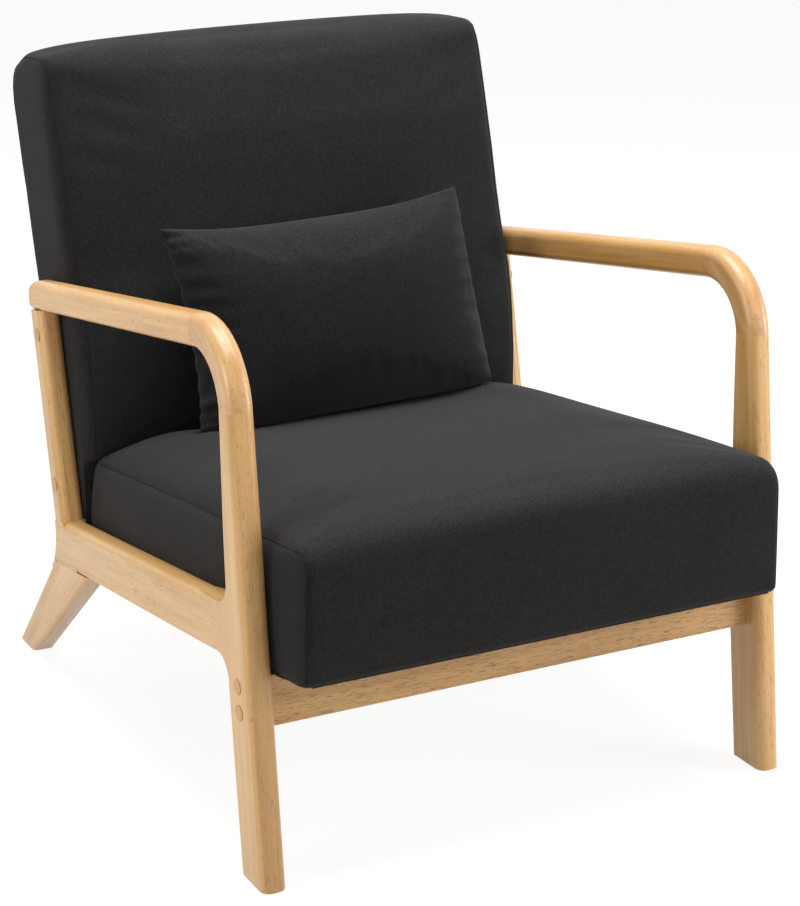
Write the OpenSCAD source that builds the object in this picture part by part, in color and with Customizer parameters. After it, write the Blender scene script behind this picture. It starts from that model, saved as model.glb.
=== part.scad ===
// Wood-frame lounge armchair: two side frames, a front rail, an upholstered seat and back, a loose pillow.
// Millimetres, +Z up, the front faces -Y. Profiles are drawn in the side plane as [depth, height].

/* [Overall] */
// Width over the outer faces of the two side frames
overall_w = 645; // [610:1:690]
// Thickness of the side frame timber
frame_t = 28; // [25:0.5:32]
// Highest point of the elbows above the floor
arm_height = 580; // [550:1:620]

/* [Front legs] */
// Lean of the front edge of a front leg, from vertical
leg_lean = 6.5; // [4:0.5:9]
// Depth of a front leg at the floor
leg_d = 55; // [48:1:62]
// Slope of the rear edge below the side rail, from vertical
leg_back_lean = 6; // [4:0.5:8]
// Depth of the upper leg where it leaves the side rail
post_low_d = 43; // [38:1:46]
// Radius of the rounded front edges
front_edge_r = 11; // [8:0.5:12]
// Radius of the hollows between front leg and side rail
haunch_r = 26; // [20:1:28]
// Distance from the front toe line to the joint of leg and side rail
leg_joint_y = 110; // [108:1:118]

/* [Armrests] */
// Height of the armrest and elbow section
arm_h = 35; // [32:1:38]
// Downward slope of the armrest to the rear
arm_slope = 9; // [7:0.5:11]
// Outer radius of the elbow
elbow_r = 90; // [84:1:96]
// Radius of the upper edges of the armrest
arm_top_r = 11; // [8:0.5:12]
// Radius of the lower edges of the armrest
arm_low_r = 8; // [5:0.5:9]
// Radius of the rear top corner of the armrest
arm_end_r = 22; // [16:1:26]

/* [Side rails and rear legs] */
// Height of the top edge of a side rail, carried forward to the front toe line
rail_top_z = 305; // [295:1:315]
// Downward slope of the side rail to the rear
rail_slope = 8.4; // [7:0.2:10]
// Height of the side rail section
rail_h = 55; // [50:1:60]
// Radius of the upper edges of a side rail
rail_top_r = 8; // [6:0.5:10]
// Radius of the lower edges of rails and legs
low_edge_r = 4; // [2:0.5:5]
// Distance from the front toe line to the rear end of a side rail
rail_end_y = 603; // [590:1:615]
// Distance from the front toe line to the rear tip of a rear foot
rear_foot_y = 765; // [745:1:785]
// Rake of the rear edge of a rear leg, from vertical
rear_rake = 43.6; // [41:0.2:46]
// Width of a rear foot along the floor
rear_foot_d = 50; // [44:1:56]
// Rake of the front edge of a rear leg, from vertical
rear_front_rake = 51.4; // [49:0.2:54]
// Radius of the long edges of a rear leg
rear_edge_r = 6; // [4:0.5:8]
// Radius of the knee between rear post and rear leg
knee_r = 70; // [60:1:80]

/* [Rear posts] */
// Lean of the rear posts, from vertical
post_lean = 12; // [10:0.5:14]
// Depth of a rear post section
post_d = 30; // [27:0.5:33]
// Radius of the front edges of a rear post
post_edge_r = 10; // [7:0.5:11]

/* [Front rail] */
// Set-back of the front rail behind the front edge of the legs
front_rail_set = 21; // [18:1:26]
// Thickness of the front rail
front_rail_t = 22; // [20:0.5:25]
// Height of the lower edge of the front rail above the floor
front_rail_z = 169; // [160:1:178]

/* [Seat] */
// Gap between the side frames and the top side seams of the seat
seat_gap = 15.5; // [12:0.5:20]
// Swell of the seat side panels
seat_swell = 6; // [4:0.5:8]
// Overhang of the seat front before the front toe line
seat_front = 27; // [22:1:32]
// Distance from the front toe line to the rear of the seat
seat_rear = 571; // [560:1:574]
// Height of the seat underside, carried to the front toe line
seat_low_z = 229; // [224:1:234]
// Height of the seat from underside to top seam
seat_h = 144; // [136:1:150]
// Downward slope of the seat to the rear
seat_slope = 8; // [7:0.5:9]
// Crown of the seat top above its seams
seat_crown = 40; // [32:1:46]

/* [Back] */
// Thickness of the back at its top
back_t = 125; // [115:1:132]
// Gap between the rear posts and the front side seams of the back
back_gap = 9.5; // [7:0.5:14]
// Height of the underside of the back
back_low_z = 172; // [168:1:182]
// Height of the front top seam of the back
back_top_z = 756; // [740:1:765]
// Lean of the rear face of the back, from vertical
back_lean = 15.6; // [14:0.2:17]
// Distance from the front toe line to the rear face at the height of the armrest
back_rear_y = 684; // [678:1:690]
// Crown of the back's front panel
back_crown = 22; // [16:1:26]
// Crown of the back's top
back_top_crown = 26; // [18:1:30]

/* [Pillow] */
// Width of the pillow
pillow_w = 402; // [380:1:420]
// Height of the pillow
pillow_h = 270; // [256:1:280]
// Thickness of the pillow at its middle
pillow_t = 110; // [96:1:114]
// Lean of the pillow, from vertical
pillow_lean = 16; // [14:0.5:18]

/* [Fixings] */
// Diameter of the small joint dowels
dowel_d = 8; // [6:1:8]
// Diameter of the large joint dowels
big_dowel_d = 10; // [8:1:10]
// Diameter of the connector bolt shanks
bolt_d = 6; // [5:0.5:6]
// Diameter of the wooden plugs over the bolt heads
plug_d = 17; // [15:0.5:18]
// Thickness of the glides under the feet
glide_t = 2; // [1.5:0.5:3]

/* [Hidden] */
$fn = 64;
half_w = overall_w / 2;
seat_half_w = half_w - frame_t - seat_gap;
back_half_w = half_w - frame_t - back_gap;
eps = 0.01;
overlap = 0.1; // share by which a corner piece runs into its neighbour
reach = 900; // longer than any member, for cutting shapes

// Side plane helpers: directions, and the meeting point of two lines given by point and angle
function dir(a) = [cos(a), sin(a)];
function nrm(a) = [-sin(a), cos(a)];
function cross2(u, v) = u[0] * v[1] - u[1] * v[0];
function meet(p, a, q, b) = p + dir(a) * (cross2(q - p, dir(b)) / cross2(dir(a), dir(b)));
function at_z(p, a, z) = meet(p, a, [0, z], 0);
function foot_of(c, p, a) = p + dir(a) * ((c - p) * dir(a));
function at_y(p, a, y) = meet(p, a, [y, 0], 90);

// Lines of the side frame
toe = [0, 0];
leg_a = 90 - leg_lean;
leg_heel = [leg_d, 0];
leg_heel_a = 90 - leg_back_lean;
elbow_c = [(arm_height - elbow_r) * tan(leg_lean) + elbow_r / cos(leg_lean), arm_height - elbow_r];
elbow_start = 90 - arm_slope;
elbow_end = 180 - leg_lean;
arm_p = elbow_c + elbow_r * dir(elbow_start);
arm_low_p = elbow_c + (elbow_r - arm_h) * dir(elbow_start);
leg_top_p = elbow_c + elbow_r * dir(elbow_end);
leg_top_in = elbow_c + (elbow_r - arm_h) * dir(elbow_end);
rail_p = [0, rail_top_z];
rail_low_p = rail_p - rail_h * nrm(-rail_slope);
leg_out_p = at_y(rail_p, -rail_slope, post_low_d + rail_top_z * tan(leg_lean));
leg_in_a = atan2(leg_top_in[1] - leg_out_p[1], leg_top_in[0] - leg_out_p[0]);
knee_p = [rail_end_y, 0];
rear_foot = [rear_foot_y, 0];
rear_a = 90 + rear_rake;
rear_front = [rear_foot_y - rear_foot_d, 0];
rear_front_a = 90 + rear_front_rake;
post_a = 90 - post_lean;
post_rear_p = at_y(rail_p, -rail_slope, rail_end_y - eps);
post_p = post_rear_p + post_d * nrm(post_a);

// Joint centres in the side frame: [point, direction, diameter, length]
dowel_len = 40;
big_dowel_len = 50;
dowel_gap = dowel_d * 0.85;
rail_dowel_gap = big_dowel_d * 1.7;
leg_dowel_gap = big_dowel_d * 2;
leg_dowel_back = 14;
leg_joint_mid = (at_y(rail_p, -rail_slope, leg_joint_y) + at_y(rail_low_p, -rail_slope, leg_joint_y)) / 2;
rear_joint_front = meet(rail_low_p, -rail_slope, rear_front, rear_front_a);
rear_joint_rear = at_y(rail_low_p, -rail_slope, rail_end_y);
rear_joint_mid = (rear_joint_front + rear_joint_rear) / 2 + leg_dowel_back * dir(-rail_slope);
post_mid_p = post_rear_p + post_d / 2 * nrm(post_a);
post_foot = meet(post_mid_p, post_a, rail_p, -rail_slope);
post_front_foot = meet(post_p, post_a, rail_p, -rail_slope);
post_head = meet(post_mid_p, post_a, arm_low_p, -arm_slope);
function pair(p, along, a, gap, d, len) = [for (k = [-1, 1]) [p + k * gap * dir(along), a, d, len]];
dowels = concat(
    pair(elbow_c + (elbow_r - arm_h / 2) * dir(elbow_start), elbow_start, -arm_slope, dowel_gap, dowel_d, dowel_len),
    pair(elbow_c + (elbow_r - arm_h / 2) * dir(elbow_end), elbow_end, leg_a, dowel_gap, dowel_d, dowel_len),
    pair(post_foot, -rail_slope, post_a, dowel_gap, dowel_d, dowel_len),
    pair(post_head, -arm_slope, post_a, dowel_gap, dowel_d, dowel_len),
    pair(leg_joint_mid, 90, -rail_slope, rail_dowel_gap, big_dowel_d, big_dowel_len),
    pair(rear_joint_mid, -rail_slope, 90 - rail_slope, leg_dowel_gap, big_dowel_d, big_dowel_len));
dowel_clear = 0.2;
dowel_end_gap = 1;

// Fixing sites
bolt_fore = 1;
bolt_v = front_rail_set + front_rail_t / 2 - bolt_fore;
front_bolt_shares = [0.3, 0.82]; // shares of the front rail height
head_d = 12;
head_h = 5;
head_bore_h = 13;
plug_h = 8;
plug_proud = 0.8;
bolt_clear = 0.6;
front_bolt_len = 62;
nut_d = 10;
nut_h = 16;
nut_in = 38;
nut_bore_front = 4.5;
bore_over = 1;
nut_bore_back = front_rail_set + front_rail_t - bolt_v + bore_over;
back_bolt_zs = [262, 438];
back_bolt_len = 32;
insert_d = 9;
insert_len = 13;

// Seat planes
seat_low_p = [0, seat_low_z];
function seat_low(y) = seat_low_z - y * tan(seat_slope);

// Front rail corners
front_rail_line = toe + front_rail_set * [1 / cos(leg_lean), 0];
front_rail_back = toe + (front_rail_set + front_rail_t) * [1 / cos(leg_lean), 0];
fr_low_front = at_z(front_rail_line, leg_a, front_rail_z);
fr_low_back = at_z(front_rail_back, leg_a, front_rail_z);
fr_top_front = meet(front_rail_line, leg_a, seat_low_p, -seat_slope);
fr_top_back = meet(front_rail_back, leg_a, seat_low_p, -seat_slope);
front_bolts = [for (s = front_bolt_shares)
    let (z = front_rail_z + s * (fr_top_front[1] - front_rail_z)) [z * tan(leg_lean) + bolt_v / cos(leg_lean), z]];
back_bolt_sites = [for (z = back_bolt_zs) at_z(post_mid_p, post_a, z)];

// Seat structure: heights are taken straight up from the sloping underside
seat_bar_t = 22;
seat_bar_h = 58;
skin = 4;
seat_in_half = seat_half_w - skin;
seat_in_front = skin - seat_front;
seat_rear_skin = 3;
seat_in_rear = seat_rear - seat_rear_skin;
bar_set = 10;
seat_bar_front = seat_in_front + bar_set;
dust_t = 1.2;
bar_top = dust_t + seat_bar_h;
clip_w = 60;
clip_t = 1.6;
clip_d = 14;
spring_wire_r = 1.9;
wire_play = 0.1;
clip_h = 2 * (clip_t + spring_wire_r + wire_play);
spring_z = bar_top + clip_h / 2;
foam_low = bar_top + clip_h + wire_play;
foam_top_skin = 8;
foam_high = seat_h - foam_top_skin;
foam_round = 20;
spring_count = 5;
spring_pitch_share = 0.344; // share of the seat's half width
spring_pitch = seat_half_w * spring_pitch_share;
spring_amp = 22;
spring_waves = 11;
spring_steps = 10;
spring_sides = 6;
block_leg = 46;
block_h = 40;
block_low = dust_t + 2 * bore_over;
bracket_w = 20;
bracket_t = 3;
bracket_leg = 36;
screw_d = 4;
screw_head_d = 8;
screw_head_h = 2.4;
screw_len = 16;
screw_shares = [0.4, 0.78]; // shares of the bracket leg
joiner_share = 0.6; // share of the seat's half width
joiner_x = seat_half_w * joiner_share;
joiner_over = 2;
joiner_d = 8;
joiner_head_d = 13;
joiner_head_h = 5;

// Back planes and structure
back_a = 90 - back_lean;
arm_level = 400;
back_rear_p = [back_rear_y, arm_level];
rear_top_drop = 27;
board_t = 15;
board_d = 78;
back_skin = 2.5;
panel_t = 1.6;
post_gap = 0.4;
back_side_half = half_w - frame_t - post_gap;
board_half = back_side_half - back_skin;
back_in_p = back_rear_p - [panel_t / cos(back_lean), 0];
board_front_p = back_in_p - [board_d / cos(back_lean), 0];
seat_back_gap = 0.3;
contact_y = seat_rear + seat_back_gap;
board_low_y = contact_y + skin;
board_lift = 2;
board_low_z = back_low_z + board_lift;
board_drop = 40;
board_top_z = back_top_z - board_drop;
strap_w = 50;
strap_t = 1.6;
strap_shares = [0.3, 0.43, 0.56, 0.69, 0.82]; // shares of the back height for the straps
back_bar_t = 22;
back_bar_d = 50;
back_low_bar_h = 60;
joiner_rise = 22;
joiner_z = board_low_z + joiner_rise;
foam_side_skin = 5;
back_foam_half = back_half_w - foam_side_skin;
back_foam_skin = 3;
// Height shares of the back, and the thickness there as shares of back_t
thick_z_shares = [0.23, 0.257, 0.31, 0.396, 0.457, 0.507, 0.587, 0.686, 0.778, 0.917, 1];
thick_shares = [0.69, 0.86, 0.935, 1.008, 1.046, 1.056, 1.005, 0.99, 1, 0.982, 0.968];

// Middle of the whole chair in depth, which becomes the origin
rear_most_z = back_top_z - rear_top_drop;
rear_most = back_rear_p[0] + (rear_most_z - arm_level) * tan(back_lean);
seat_front_swell = 4;
centre_y = (rear_most - seat_front - seat_front_swell) / 2;

wood = [0.86, 0.7, 0.5];
inner_wood = [0.8, 0.66, 0.46];
cloth = [0.17, 0.17, 0.18];
steel = [0.7, 0.7, 0.72];
foam = [0.93, 0.9, 0.78];

// Solids from side plane profiles and from sections
module placed() translate([0, -centre_y, 0]) children();
module side(t) rotate([90, 0, 90]) linear_extrude(height = t) children();
module bar(p, a, len) translate([0, p[0], p[1]]) rotate([a - 90, 0, 0]) linear_extrude(height = len) children();
module section(w, d, r0, r1) {
    translate([0, r0]) square([w, d - r0 - r1]);
    translate([r0, 0]) square([w - 2 * r0, d / 2]);
    translate([r1, d / 2]) square([w - 2 * r1, d / 2]);
    for (x = [r0, w - r0]) translate([x, r0]) circle(r0);
    for (x = [r1, w - r1]) translate([x, d - r1]) circle(r1);
}
module front_section(w, d, r) {
    translate([0, r]) square([w, d - r]);
    translate([r, 0]) square([w - 2 * r, d / 2]);
    for (x = [r, w - r]) translate([x, r]) circle(r);
}
// What is taken off a square edge to round it: the circle runs out just past both faces
module edge_cut(r) difference() {
    translate([-r, -r]) square(2 * r);
    translate([r, r]) circle(r + 2 * eps);
}
module edge_cuts(r) {
    edge_cut(r);
    translate([frame_t, 0]) mirror([1, 0]) edge_cut(r);
}
module line_cuts(from, to, r) bar(from, atan2(to[1] - from[1], to[0] - from[0]), norm(to - from)) edge_cuts(r);
module pin(p, a, d, len, x) translate([x, p[0], p[1]]) rotate([a - 90, 0, 0]) cylinder(h = len, d = d, center = true);
module dowel_bores() for (s = dowels)
    pin(s[0], s[1], s[2] + dowel_clear, s[3] + 2 * dowel_end_gap, frame_t / 2);
module cross_bore(p, d, from, to) translate([from, p[0], p[1]]) rotate([0, 90, 0]) cylinder(h = to - from, d = d);
// Hollow fillet in the corner of two lines: wedge to the tangent points, less the circle
module hollow(p, a, q, b, c, r) {
    k = meet(p, a, q, b);
    difference() {
        polygon([k + (k - c) * overlap, foot_of(c, p, a), foot_of(c, q, b)]);
        translate(c) circle(r);
    }
}
// Stepped bores for a connector bolt head, its plug and its shank, from the outer face inwards
module bolt_bores(sites) for (p = sites) {
    cross_bore(p, plug_d, -eps, head_bore_h);
    cross_bore(p, bolt_d + bolt_clear, -eps, frame_t + eps);
}

// Side frame profiles
module half(p, a, s) polygon([p - reach * dir(a), p + reach * dir(a),
    p + reach * dir(a) + s * reach * nrm(a), p - reach * dir(a) + s * reach * nrm(a)]);
hollow_low_c = meet(leg_heel - haunch_r * nrm(leg_heel_a), leg_heel_a,
    rail_low_p - haunch_r * nrm(-rail_slope), -rail_slope);
hollow_up_c = meet(leg_out_p - haunch_r * nrm(leg_in_a), leg_in_a,
    rail_p + haunch_r * nrm(-rail_slope), -rail_slope);
knee_c = meet(knee_p + [knee_r, 0], 90, rear_foot - knee_r * nrm(rear_a), rear_a);
arm_end_c = meet(arm_p - arm_end_r * nrm(-arm_slope), -arm_slope, post_rear_p + arm_end_r * nrm(post_a), post_a);
// The roundings of the leg and rail edges run out to nothing before the hollows
run_out_up = foot_of(hollow_up_c, leg_out_p, leg_in_a) - arm_low_r * nrm(leg_in_a);
run_out_low = foot_of(hollow_low_c, leg_heel, leg_heel_a) - low_edge_r * nrm(leg_heel_a);
run_out_rail = at_y(rail_p, -rail_slope, leg_joint_y) + rail_top_r * nrm(-rail_slope);
run_out_base = at_y(rail_low_p, -rail_slope, leg_joint_y) - low_edge_r * nrm(-rail_slope);
rail_round_from = at_y(rail_p, -rail_slope, leg_joint_y + haunch_r * 2);
module leg_profile() difference() {
    polygon([at_z(toe, leg_a, glide_t), at_z(leg_heel, leg_heel_a, glide_t),
        foot_of(hollow_low_c, leg_heel, leg_heel_a), foot_of(hollow_low_c, rail_low_p, -rail_slope),
        at_y(rail_low_p, -rail_slope, leg_joint_y), at_y(rail_p, -rail_slope, leg_joint_y),
        foot_of(hollow_up_c, rail_p, -rail_slope), foot_of(hollow_up_c, leg_out_p, leg_in_a),
        leg_top_in, leg_top_p]);
    translate(hollow_low_c) circle(haunch_r);
    translate(hollow_up_c) circle(haunch_r);
}
module knee() hollow(knee_p, 90, rear_foot, rear_a, knee_c, knee_r);
module rail_profile() intersection() {
    half(rail_p, -rail_slope, -1);
    half(rail_low_p, -rail_slope, 1);
    union() {
        translate([leg_joint_y, 0]) square([rail_end_y - leg_joint_y, reach]);
        knee();
    }
}
module rear_leg_profile() intersection() {
    half(rail_low_p, -rail_slope, -1);
    union() {
        polygon([at_z(rear_front, rear_front_a, glide_t), at_z(rear_foot, rear_a, glide_t),
            meet(knee_p, 90, rear_foot, rear_a), [rail_end_y, rail_top_z],
            at_z(rear_front, rear_front_a, rail_top_z)]);
        knee();
    }
}
module arm_profile() difference() {
    half(post_rear_p, post_a, 1);
    hollow(arm_p, -arm_slope, post_rear_p, post_a, arm_end_c, arm_end_r);
}

// Side frame members, drawn from the outer face of the left side
module leg_shape() difference() {
    intersection() {
        side(frame_t) leg_profile();
        bar(toe - leg_d * dir(leg_a), leg_a, reach) front_section(frame_t, reach / 2, front_edge_r);
    }
    line_cuts(leg_top_in + overlap * (leg_top_in - run_out_up), run_out_up, arm_low_r);
    line_cuts(run_out_low, leg_heel + overlap * (leg_heel - run_out_low), low_edge_r);
    dowel_bores();
    bolt_bores(front_bolts);
}
module elbow_shape() difference() {
    translate([0, elbow_c[0], elbow_c[1]]) rotate([90, 0, 90]) rotate([0, 0, elbow_start])
        rotate_extrude(angle = elbow_end - elbow_start)
            translate([elbow_r, 0]) rotate(90) section(frame_t, arm_h, arm_top_r, arm_low_r);
    dowel_bores();
}
module armrest_shape() difference() {
    intersection() {
        bar(arm_p, -arm_slope, reach) section(frame_t, arm_h, arm_top_r, arm_low_r);
        side(frame_t) arm_profile();
    }
    dowel_bores();
}
module post_shape() difference() {
    intersection() {
        bar(post_p - reach / 4 * dir(post_a), post_a, reach) section(frame_t, post_d, post_edge_r, post_edge_r / 3);
        side(frame_t) intersection() {
            half(rail_p, -rail_slope, 1);
            half(arm_low_p, -arm_slope, -1);
        }
    }
    dowel_bores();
    bolt_bores(back_bolt_sites);
}
module rail_shape() difference() {
    side(frame_t) rail_profile();
    line_cuts(run_out_rail, rail_round_from, rail_top_r);
    line_cuts(rail_round_from - rail_top_r / 4 * dir(-rail_slope), post_front_foot, rail_top_r);
    line_cuts(rear_joint_front + overlap * (rear_joint_front - run_out_base), run_out_base, low_edge_r);
    dowel_bores();
}
module rear_leg_shape() difference() {
    intersection() {
        side(frame_t) rear_leg_profile();
        bar(rear_front - leg_d * dir(rear_front_a), rear_front_a, reach)
            front_section(frame_t, reach / 2, rear_edge_r);
    }
    line_cuts(foot_of(knee_c, rear_foot, rear_a), rear_foot - leg_d * dir(rear_a), low_edge_r);
    dowel_bores();
}
module left(c = wood) color(c) placed() translate([-half_w, 0, 0]) children();
module right(c = wood) color(c) placed() mirror([1, 0, 0]) translate([-half_w, 0, 0]) children();
module both(c) {
    left(c) children();
    right(c) children();
}
module left_front_leg() left() leg_shape();
module right_front_leg() right() leg_shape();
module left_elbow() left() elbow_shape();
module right_elbow() right() elbow_shape();
module left_armrest() left() armrest_shape();
module right_armrest() right() armrest_shape();
module left_rear_post() left() post_shape();
module right_rear_post() right() post_shape();
module left_side_rail() left() rail_shape();
module right_side_rail() right() rail_shape();
module left_rear_leg() left() rear_leg_shape();
module right_rear_leg() right() rear_leg_shape();
module dowel_set() for (s = dowels) pin(s[0], s[1], s[2], s[3], frame_t / 2);
module left_frame_dowels() left(inner_wood) dowel_set();
module right_frame_dowels() right(inner_wood) dowel_set();

// Front rail, its bolts and barrel nuts, drawn from the outer face of the left side
bracket_in = half_w - seat_in_half + seat_bar_t / 2;
function rail_screws() = [for (s = screw_shares)
    [fr_top_back - s * bracket_leg * dir(leg_a) - bracket_t * nrm(leg_a), leg_a + 90]];
function bar_screws() = [for (s = screw_shares)
    [fr_top_back + s * bracket_leg * dir(-seat_slope) - bracket_t * nrm(-seat_slope), 90 - seat_slope]];
module screw_hole(s, x) pin(s[0] + screw_len / 2 * dir(s[1]), s[1], screw_d + dowel_clear / 2, screw_len + dowel_clear, x);
module rail_end_bores() {
    for (p = front_bolts) {
        cross_bore(p, bolt_d + bolt_clear, 0, head_bore_h + front_bolt_len + 2 * bore_over);
        pin(p - (nut_bore_back - nut_bore_front) / 2 * nrm(leg_a), leg_a + 90, nut_d + dowel_clear,
            nut_bore_back + nut_bore_front, frame_t + nut_in);
    }
    for (s = rail_screws()) screw_hole(s, bracket_in);
}
module front_rail() color(wood) placed() difference() {
    translate([frame_t - half_w, 0, 0]) side(overall_w - 2 * frame_t)
        polygon([fr_low_front, fr_low_back, fr_top_back, fr_top_front]);
    translate([-half_w, 0, 0]) rail_end_bores();
    mirror([1, 0, 0]) translate([-half_w, 0, 0]) rail_end_bores();
}
module bolt(p, len) translate([head_bore_h, p[0], p[1]]) rotate([0, 90, 0]) difference() {
    union() {
        cylinder(h = len, d = bolt_d);
        translate([0, 0, -head_h]) cylinder(h = head_h, d = head_d);
    }
    translate([0, 0, -head_h - eps]) cylinder(h = head_h / 2, d = bolt_d * 0.9, $fn = 6);
}
module front_rail_bolts() both(steel) for (p = front_bolts) bolt(p, front_bolt_len);
module front_rail_nuts() both(steel) for (p = front_bolts) difference() {
    pin(p - nut_h / 4 * nrm(leg_a), leg_a + 90, nut_d, nut_h, frame_t + nut_in);
    cross_bore(p, bolt_d + dowel_clear, frame_t, frame_t + nut_in + nut_d);
}
module back_bolts() both(steel) for (p = back_bolt_sites) bolt(p, back_bolt_len);
insert_x = half_w - board_half;
module back_insert_nuts() both(steel) for (p = back_bolt_sites) difference() {
    cross_bore(p, insert_d, insert_x, insert_x + insert_len);
    cross_bore(p, bolt_d + dowel_clear, insert_x - bore_over, insert_x + insert_len + bore_over);
}
module bolt_plugs() both([0.84, 0.6, 0.38]) for (p = concat(front_bolts, back_bolt_sites))
    cross_bore(p, plug_d - dowel_clear, -plug_proud, plug_h - plug_proud);
glide_d = 20;
module foot_glides() both([0.25, 0.25, 0.26]) for (y = [leg_d / 2, rear_foot_y - rear_foot_d / 2])
    translate([frame_t / 2, y, 0]) cylinder(h = glide_t, d = glide_d);

// Seat structure
module seat_band(y0, y1, z0, z1) polygon([[y0, seat_low(y0) + z0], [y1, seat_low(y1) + z0],
    [y1, seat_low(y1) + z1], [y0, seat_low(y0) + z1]]);
module across(w) translate([-w, 0, 0]) side(2 * w) children();
module joiner_holes(d) for (x = [-joiner_x, joiner_x]) translate([x, seat_rear, joiner_z])
    rotate([90, 0, 0]) cylinder(h = reach / 8, d = d, center = true);
module seat_front_bar() color(inner_wood) placed() across(seat_in_half)
    seat_band(seat_bar_front, seat_bar_front + seat_bar_t, dust_t, bar_top);
module seat_rear_bar() color(inner_wood) placed() difference() {
    across(seat_in_half) seat_band(seat_in_rear - seat_bar_t, seat_in_rear, dust_t, bar_top);
    joiner_holes(joiner_d + dowel_clear);
}
module seat_side_bar() difference() {
    translate([half_w - seat_in_half, 0, 0]) side(seat_bar_t)
        seat_band(seat_bar_front + seat_bar_t, seat_in_rear - seat_bar_t, dust_t, bar_top);
    for (s = bar_screws()) screw_hole(s, bracket_in);
}
module seat_left_bar() left(inner_wood) seat_side_bar();
module seat_right_bar() right(inner_wood) seat_side_bar();
module corner_block(y, s) translate([half_w - seat_in_half + seat_bar_t, 0, 0])
    intersection() {
        translate([0, y, 0]) linear_extrude(height = reach / 2) polygon([[0, 0], [block_leg, 0], [0, s * block_leg]]);
        side(block_leg) seat_band(y - block_leg, y + block_leg, block_low, block_low + block_h);
    }
module seat_corner_blocks() both(inner_wood) {
    corner_block(seat_bar_front + seat_bar_t, 1);
    corner_block(seat_in_rear - seat_bar_t, -1);
}
spring_from = seat_bar_front + seat_bar_t / 2 - clip_d / 2 + clip_t + spring_wire_r;
spring_to = seat_in_rear - seat_bar_t / 2 + clip_d / 2 - clip_t - spring_wire_r;
function spring_ring(k) =
    let (s = k / (spring_waves * spring_steps), y = spring_from + s * (spring_to - spring_from),
        a = 360 * spring_waves * s, slope = spring_amp * cos(a) * 2 * PI * spring_waves / (spring_to - spring_from),
        n = [1, -slope] / norm([1, slope]))
    [for (i = [0:spring_sides - 1]) let (b = -360 * i / spring_sides)
        [spring_amp * sin(a) + spring_wire_r * cos(b) * n[0], y + spring_wire_r * cos(b) * n[1],
            seat_low(y) + spring_z + spring_wire_r * sin(b)]];
module one_spring() {
    m = spring_waves * spring_steps + 1;
    n = spring_sides;
    polyhedron(points = [for (k = [0:m - 1]) each spring_ring(k)], faces = concat([[for (i = [0:n - 1]) i]],
        [for (k = [0:m - 2], i = [0:n - 1]) let (a = k * n + i, b = k * n + (i + 1) % n) each
            [[a, a + n, b + n], [a, b + n, b]]], [[for (i = [n - 1:-1:0]) (m - 1) * n + i]]));
}
spring_xs = [for (i = [0:spring_count - 1]) (i - (spring_count - 1) / 2) * spring_pitch];
module seat_springs() color(steel) placed() for (x = spring_xs) translate([x, 0, 0]) one_spring();
module clip_profile(y, s) difference() {
    seat_band(y - clip_d / 2, y + clip_d / 2, bar_top, bar_top + clip_h);
    translate([s * clip_t, 0]) seat_band(y - clip_d / 2, y + clip_d / 2,
        bar_top + clip_t - 2 * wire_play, bar_top + clip_h - clip_t + 2 * wire_play);
}
module spring_clips() color([0.3, 0.3, 0.32]) placed() for (x = spring_xs) translate([x, 0, 0]) {
    across(clip_w / 2) clip_profile(seat_bar_front + seat_bar_t / 2, 1);
    across(clip_w / 2) clip_profile(seat_in_rear - seat_bar_t / 2, -1);
}
foam_top_p = [0, seat_low_z + foam_high];
foam_front_p = [seat_in_front, 0];
foam_c = meet(foam_top_p - foam_round * nrm(-seat_slope), -seat_slope, foam_front_p + [foam_round, 0], 90);
module foam_profile() difference() {
    union() {
        seat_band(seat_in_front, seat_in_rear, foam_low, foam_high);
        seat_band(seat_in_front, seat_bar_front, dust_t, foam_low);
    }
    hollow(foam_top_p, -seat_slope, foam_front_p, 90, foam_c, foam_round);
}
module seat_foam() color(foam) placed() across(seat_in_half) foam_profile();
module seat_dust_cover() color([0.12, 0.12, 0.12]) placed() difference() {
    across(seat_in_half) seat_band(seat_in_front, seat_in_rear, 0, dust_t);
    for (m = [0, 1]) mirror([m, 0, 0]) translate([-half_w, 0, 0])
        for (s = bar_screws()) screw_hole(s, bracket_in);
}
bracket_down = bracket_leg * dir(leg_a);
bracket_back = bracket_leg * dir(-seat_slope);
bracket_off = -bracket_t * nrm(leg_a);
bracket_drop = -bracket_t * nrm(-seat_slope);
module seat_brackets() both(steel) translate([bracket_in - bracket_w / 2, 0, 0]) difference() {
    side(bracket_w) polygon([fr_top_back, fr_top_back + bracket_back, fr_top_back + bracket_back + bracket_drop,
        meet(fr_top_back + bracket_off, leg_a, fr_top_back + bracket_drop, -seat_slope),
        fr_top_back - bracket_down + bracket_off, fr_top_back - bracket_down]);
    for (s = concat(rail_screws(), bar_screws())) screw_hole(s, bracket_w / 2);
}
module screw(s) translate([bracket_in, s[0][0], s[0][1]]) rotate([s[1] - 90, 0, 0]) {
    cylinder(h = screw_len, d = screw_d);
    translate([0, 0, -screw_head_h]) cylinder(h = screw_head_h, d1 = screw_head_d * 0.7, d2 = screw_head_d);
}
module bracket_screws() both(steel) for (s = concat(rail_screws(), bar_screws())) screw(s);
joiner_front = seat_in_rear - seat_bar_t;
joiner_back = board_low_y + back_bar_t;
module seat_back_bolts() color(steel) placed() for (x = [-joiner_x, joiner_x])
    translate([x, joiner_front, joiner_z]) rotate([-90, 0, 0]) {
        cylinder(h = joiner_back - joiner_front + joiner_head_h + joiner_over, d = joiner_d);
        translate([0, 0, -joiner_head_h]) cylinder(h = joiner_head_h, d = joiner_head_d);
        translate([0, 0, joiner_back - joiner_front]) cylinder(h = joiner_head_h, d = joiner_head_d, $fn = 6);
    }

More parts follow.
